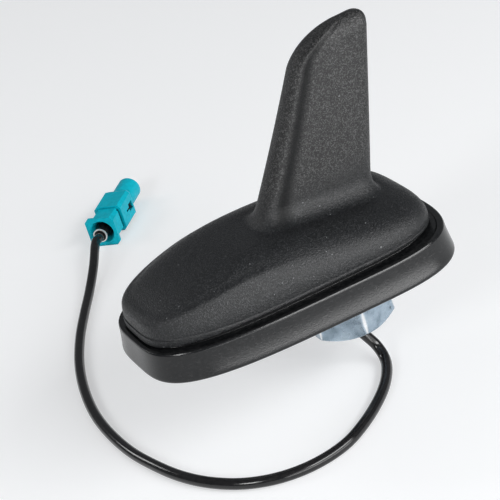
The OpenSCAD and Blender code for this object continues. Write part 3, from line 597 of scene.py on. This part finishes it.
def eroded_plastic():
    """Matt black moulding with the fine sparkle of a spark-eroded mould, and light specks that are partly
    dust and partly painted glints. The grain is coarser on the fin, with brighter specks there that are
    partly painted glints, and the valley behind the fin's leading edge has painted shade: darker, and less
    glossy."""
    material, tree, bsdf = shader("eroded_plastic", (0.010, 0.0115, 0.0125), 0.5)
    grain = speckle(tree, 2700.0, 2.0, 0.6)
    fine = ramp(tree, grain, [(0.38, (0.002, 0.0026, 0.0032)), (0.52, (0.006, 0.007, 0.008)),
                              (0.68, (0.036, 0.037, 0.039))])
    # Coarser grain on the fin: random brighter cells, partly grain and partly painted glints
    cells = node(tree, "ShaderNodeTexVoronoi", {"Vector": object_coords(tree)}, Scale=4200.0)
    chance = node(tree, "ShaderNodeSeparateColor", {"Color": cells.outputs["Color"]})
    coarse_grain_and_painted_glints = ramp(tree, chance.outputs["Red"], [(0.0, (0.001, 0.001, 0.001)), (0.55, (0.006, 0.0062, 0.0064)),
                                                (1.0, (0.07, 0.07, 0.07))])
    place = node(tree, "ShaderNodeSeparateXYZ", {"Vector": object_coords(tree)})
    on_fin = span(tree, place.outputs["Z"], 21.0 * MM, 30.0 * MM)
    # Painted shade: the valley behind the fin's leading edge gets a darker colour and a lower specular level
    valley = point_value(tree, "valley")
    valley_painted_shade = blend(tree, valley, blend(tree, on_fin, fine, coarse_grain_and_painted_glints), (0.004, 0.0044, 0.0048))
    # Light grey specks all over: partly dust, partly painted glints
    dust_and_painted_glints = span(tree, speckle(tree, 1100.0, 1.0), 0.785, 0.81)
    feed(tree, bsdf, Base_Color=blend(tree, dust_and_painted_glints, valley_painted_shade, (0.34, 0.35, 0.36)),
         Roughness=spread(tree, speckle(tree, 2900.0, 1.0), 0.34, 0.6),
         Specular_IOR_Level=span(tree, valley, 0.0, 1.0, 0.5, 0.2))
    bump(tree, bsdf, grain, 0.00018)
    return material


def satin_rubber():
    """Satin black rubber with a soft, slightly cloudy surface."""
    material, tree, bsdf = shader("satin_rubber", (0.014, 0.0145, 0.0155), 0.42, Specular_IOR_Level=0.42)
    along = node(tree, "ShaderNodeMapping", {"Vector": object_coords(tree)})
    along.inputs["Scale"].default_value = (0.5, 0.7, 1.6)
    streaks = speckle(tree, 2000.0, 2.0, vector=along.outputs["Vector"])
    shades = ramp(tree, streaks, [(0.35, (0.004, 0.0044, 0.0048)), (0.6, (0.009, 0.0095, 0.0102)),
                                  (0.72, (0.018, 0.018, 0.018))])
    feed(tree, bsdf, Base_Color=shades, Roughness=spread(tree, streaks, 0.17, 0.21))
    bump(tree, bsdf, speckle(tree, 3200.0, 1.0), 0.00003, 0.6)
    return material


def bright_zinc():
    """Zinc plating: bright, faintly blue, with fine drawn marks and a few dark flecks; near white at its
    corners, which is partly wear and partly a painted highlight."""
    material, tree, bsdf = shader("bright_zinc", (0.5, 0.56, 0.62), 0.3, 1.0)
    drawn = ramp(tree, speckle(tree, 260.0, 4.0), [(0.32, (0.24, 0.31, 0.37)), (0.5, (0.37, 0.46, 0.545)),
                                                   (0.7, (0.47, 0.57, 0.65))])
    clear = span(tree, speckle(tree, 520.0, 5.0, 0.75), 0.30, 0.36)
    marked = blend(tree, clear, (0.06, 0.075, 0.09), drawn)
    # Near-white corners from the mask: partly wear, partly a painted highlight
    feed(tree, bsdf, Base_Color=blend(tree, point_value(tree, "wear_and_painted_highlight"), marked, (0.93, 0.94, 0.95)),
         Roughness=spread(tree, speckle(tree, 700.0, 4.0), 0.22, 0.36))
    bump(tree, bsdf, speckle(tree, 900.0, 3.0), 0.00001, 0.3)
    return material


def cast_alloy():
    """Die-cast alloy with a fine skin."""
    material, tree, bsdf = shader("cast_alloy", (0.5, 0.51, 0.53), 0.42, 1.0)
    shades = ramp(tree, speckle(tree, 300.0, 3.0), [(0.3, (0.42, 0.43, 0.45)), (0.7, (0.58, 0.59, 0.61))])
    feed(tree, bsdf, Base_Color=shades, Roughness=spread(tree, speckle(tree, 700.0), 0.34, 0.52))
    bump(tree, bsdf, speckle(tree, 1500.0, 2.0), 0.00005, 0.4)
    return material


def cable_sheath():
    """Smooth black cable sheath with a soft gloss."""
    material, tree, bsdf = shader("cable_sheath", (0.006, 0.006, 0.0068), 0.2, Specular_IOR_Level=0.55)
    shades = ramp(tree, speckle(tree, 900.0, 2.0), [(0.4, (0.004, 0.004, 0.0045)),
                                                    (0.75, (0.012, 0.011, 0.011))])
    feed(tree, bsdf, Base_Color=shades, Roughness=spread(tree, speckle(tree, 400.0, 3.0), 0.12, 0.2))
    bump(tree, bsdf, speckle(tree, 2600.0, 1.0), 0.000004, 0.5)
    return material


def teal_moulding():
    """Blue-green moulded plastic with a fine matt grain, and painted shade in its recesses from an occlusion
    node.
    """
    material, tree, bsdf = shader("teal_moulding", (0.0, 0.46, 0.58), 0.45, Specular_IOR_Level=0.2)
    shades = ramp(tree, speckle(tree, 700.0, 3.0), [(0.3, (0.0, 0.42, 0.53)), (0.7, (0.0, 0.5, 0.63))])
    # Painted shade: where the occlusion node finds nearby surfaces, the colour goes towards a near-black teal
    occlusion_for_painted_shade = node(tree, "ShaderNodeAmbientOcclusion", samples=8, Distance=1.6 * MM).outputs["AO"]
    feed(tree, bsdf, Base_Color=blend(tree, span(tree, occlusion_for_painted_shade, 0.25, 0.75), (0.0, 0.03, 0.04), shades),
         Roughness=spread(tree, speckle(tree, 1200.0), 0.38, 0.52))
    bump(tree, bsdf, speckle(tree, 2400.0, 2.0), 0.00004, 0.4)
    return material


def crimped_brass(at, axis, edge):
    """Crimp ferrule: blackened barrel with a bare rim. The rim starts where the distance along the plug's
    axis, measured from its middle, passes the edge, and lies outside the barrel's radius."""
    material, tree, bsdf = shader("crimped_brass", (0.02, 0.02, 0.022), 0.35, 0.6)
    rearward = tuple(-axis)
    away = vector_math(tree, "SUBTRACT", object_coords(tree), tuple(at * MM))
    down = vector_math(tree, "DOT_PRODUCT", away, rearward)
    out = vector_math(tree, "DISTANCE", away, vector_math(tree, "SCALE", rearward, down))
    barrel = FERRULE_D / 2
    rim = math_node(tree, "MULTIPLY", span(tree, down, (edge - BARE_EDGE) * MM, edge * MM),
                    span(tree, out, (barrel - BARE_SIDE) * MM, (barrel + BARE_SIDE) * MM))
    grime = ramp(tree, speckle(tree, 900.0, 3.0), [(0.3, (0.008, 0.008, 0.009)),
                                                   (0.7, (0.028, 0.027, 0.026))])
    feed(tree, bsdf, Base_Color=blend(tree, rim, grime, (0.82, 0.81, 0.80)),
         Roughness=spread(tree, speckle(tree, 1500.0), 0.28, 0.42))
    return material


def plain_finish(name, colour, roughness, kind):
    """Even finish of one kind, METAL or PLASTIC, with slightly darker clouds."""
    metallic, shade, scale = kind
    material, tree, bsdf = shader(name, colour, roughness, metallic)
    dark = tuple(shade * c for c in colour)
    feed(tree, bsdf, Base_Color=ramp(tree, speckle(tree, scale, 3.0), [(0.3, dark), (0.7, colour)]),
         Roughness=spread(tree, speckle(tree, 1500.0), roughness - SMOOTHER, roughness + ROUGHER))
    return material


# Stage

def make_floor():
    """Pale floor under the lead. Camera, mirror and glass rays see it topped up to near white; its shadows
    stay."""
    material, tree, bsdf = shader("floor", FLOOR_COLOUR, 0.9, Specular_IOR_Level=0.1)
    rays = node(tree, "ShaderNodeLightPath")
    seen = rays.outputs["Is Camera Ray"]
    for kind in ("Is Glossy Ray", "Is Transmission Ray"):
        seen = math_node(tree, "MAXIMUM", seen, rays.outputs[kind])
    bsdf.inputs["Emission Color"].default_value = (1.0, 1.0, 1.0, 1.0)
    feed(tree, bsdf, Emission_Strength=math_node(tree, "MULTIPLY", seen, FLOOR_TOP_UP))
    corners = FLOOR_HALF * np.array([(-1, -1), (1, -1), (1, 1), (-1, 1)])
    verts = np.column_stack([corners, np.full(4, FLOOR_Z * MM)])
    floor = mesh_piece("floor", verts, np.array([[0, 1, 2, 3]]), np.zeros((0, 3), int), material)


def soft_light(name, at, size, power):
    """Area light at a point in metres that faces the aerial, its width level."""
    data = bpy.data.lights.new(name, "AREA")
    data.shape = "RECTANGLE"
    data.size, data.size_y = size
    data.energy = power
    back = unit(np.array(at) - np.array(LIGHTS_TARGET))
    right = unit(np.cross([0, 0, 1], back))
    stand(add_object(name, data), right, np.cross(back, right), back, at)


def light_scene():
    """Three wide soft lights one above the other on the right, a small one behind on the left and one before
    the nose, and a dim room that shows white to the camera."""
    for light in LIGHTS:
        soft_light(*light)
    world = bpy.data.worlds.new("studio")
    world.use_nodes = True
    tree = world.node_tree
    background = tree.nodes["Background"]
    background.inputs["Color"].default_value = (*ROOM_COLOUR, 1.0)
    rays = node(tree, "ShaderNodeLightPath")
    level = span(tree, rays.outputs["Is Camera Ray"], 0.0, 1.0, ROOM_LIGHT, ROOM_SEEN)
    feed(tree, background, Strength=level)
    bpy.context.scene.world = world
    bpy.context.scene.view_settings.view_transform = "Standard"


# The aerial

place_camera()
sheath = cable_sheath()
lead, lead_path = make_cable(sheath)
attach(lead, "root")
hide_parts("coax_cable")

cover = make_cover(eroded_plastic())
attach(cover, "root")
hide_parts("radome_cover")
rubber = satin_rubber()
foot = make_foot(rubber)
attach(foot, "root")
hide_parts("foot_gasket")

zinc = bright_zinc()
nut = make_nut(zinc)
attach(nut, "root")
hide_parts("hex_nut")
for boss in make_bosses(cover.data.materials[0]):
    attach(boss, "root")

FINISHES = {
    "base_plate": cast_alloy(),
    "claw_washer": plain_finish("spring_steel", (0.6, 0.61, 0.63), 0.35, METAL),
    "cover_screws": plain_finish("screw_steel", (0.62, 0.63, 0.65), 0.3, METAL),
    "cable_grommet": rubber,
    "amplifier_board": plain_finish("solder_mask", (0.02, 0.15, 0.06), 0.3, PLASTIC),
    "shield_can": plain_finish("tinplate", (0.66, 0.67, 0.68), 0.3, METAL),
    "amplifier_chip": plain_finish("chip_epoxy", (0.02, 0.02, 0.022), 0.4, PLASTIC),
    "filter_coils": plain_finish("copper", (0.6, 0.28, 0.12), 0.3, METAL),
    "connector_housing": teal_moulding(),
    "connector_lock": plain_finish("dark_moulding", (0.006, 0.012, 0.014), 0.45, PLASTIC),
    "crimp_ferrule": crimped_brass(PLUG_AT, PLUG_AXIS, PLUG_LENGTH / 2 + FERRULE_OUT - FERRULE_RIM_T),
    "contact_sleeve": plain_finish("white_bronze", (0.7, 0.69, 0.64), 0.3, METAL),
    "contact_insulator": plain_finish("white_plastic", (0.82, 0.81, 0.78), 0.45, PLASTIC),
    "centre_contact": plain_finish("gold_plate", (0.75, 0.55, 0.2), 0.25, METAL),
}
SAME_FINISH = {"board_screws": "cover_screws", "fin_radiator": "amplifier_board",
               "radiator_spring": "claw_washer", "cable_clamp": "shield_can"}
for name, model in SAME_FINISH.items():
    FINISHES[name] = FINISHES[model]
for name, material in FINISHES.items():
    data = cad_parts[name].data
    data.materials.clear()
    data.materials.append(material)

make_floor()
light_scene()
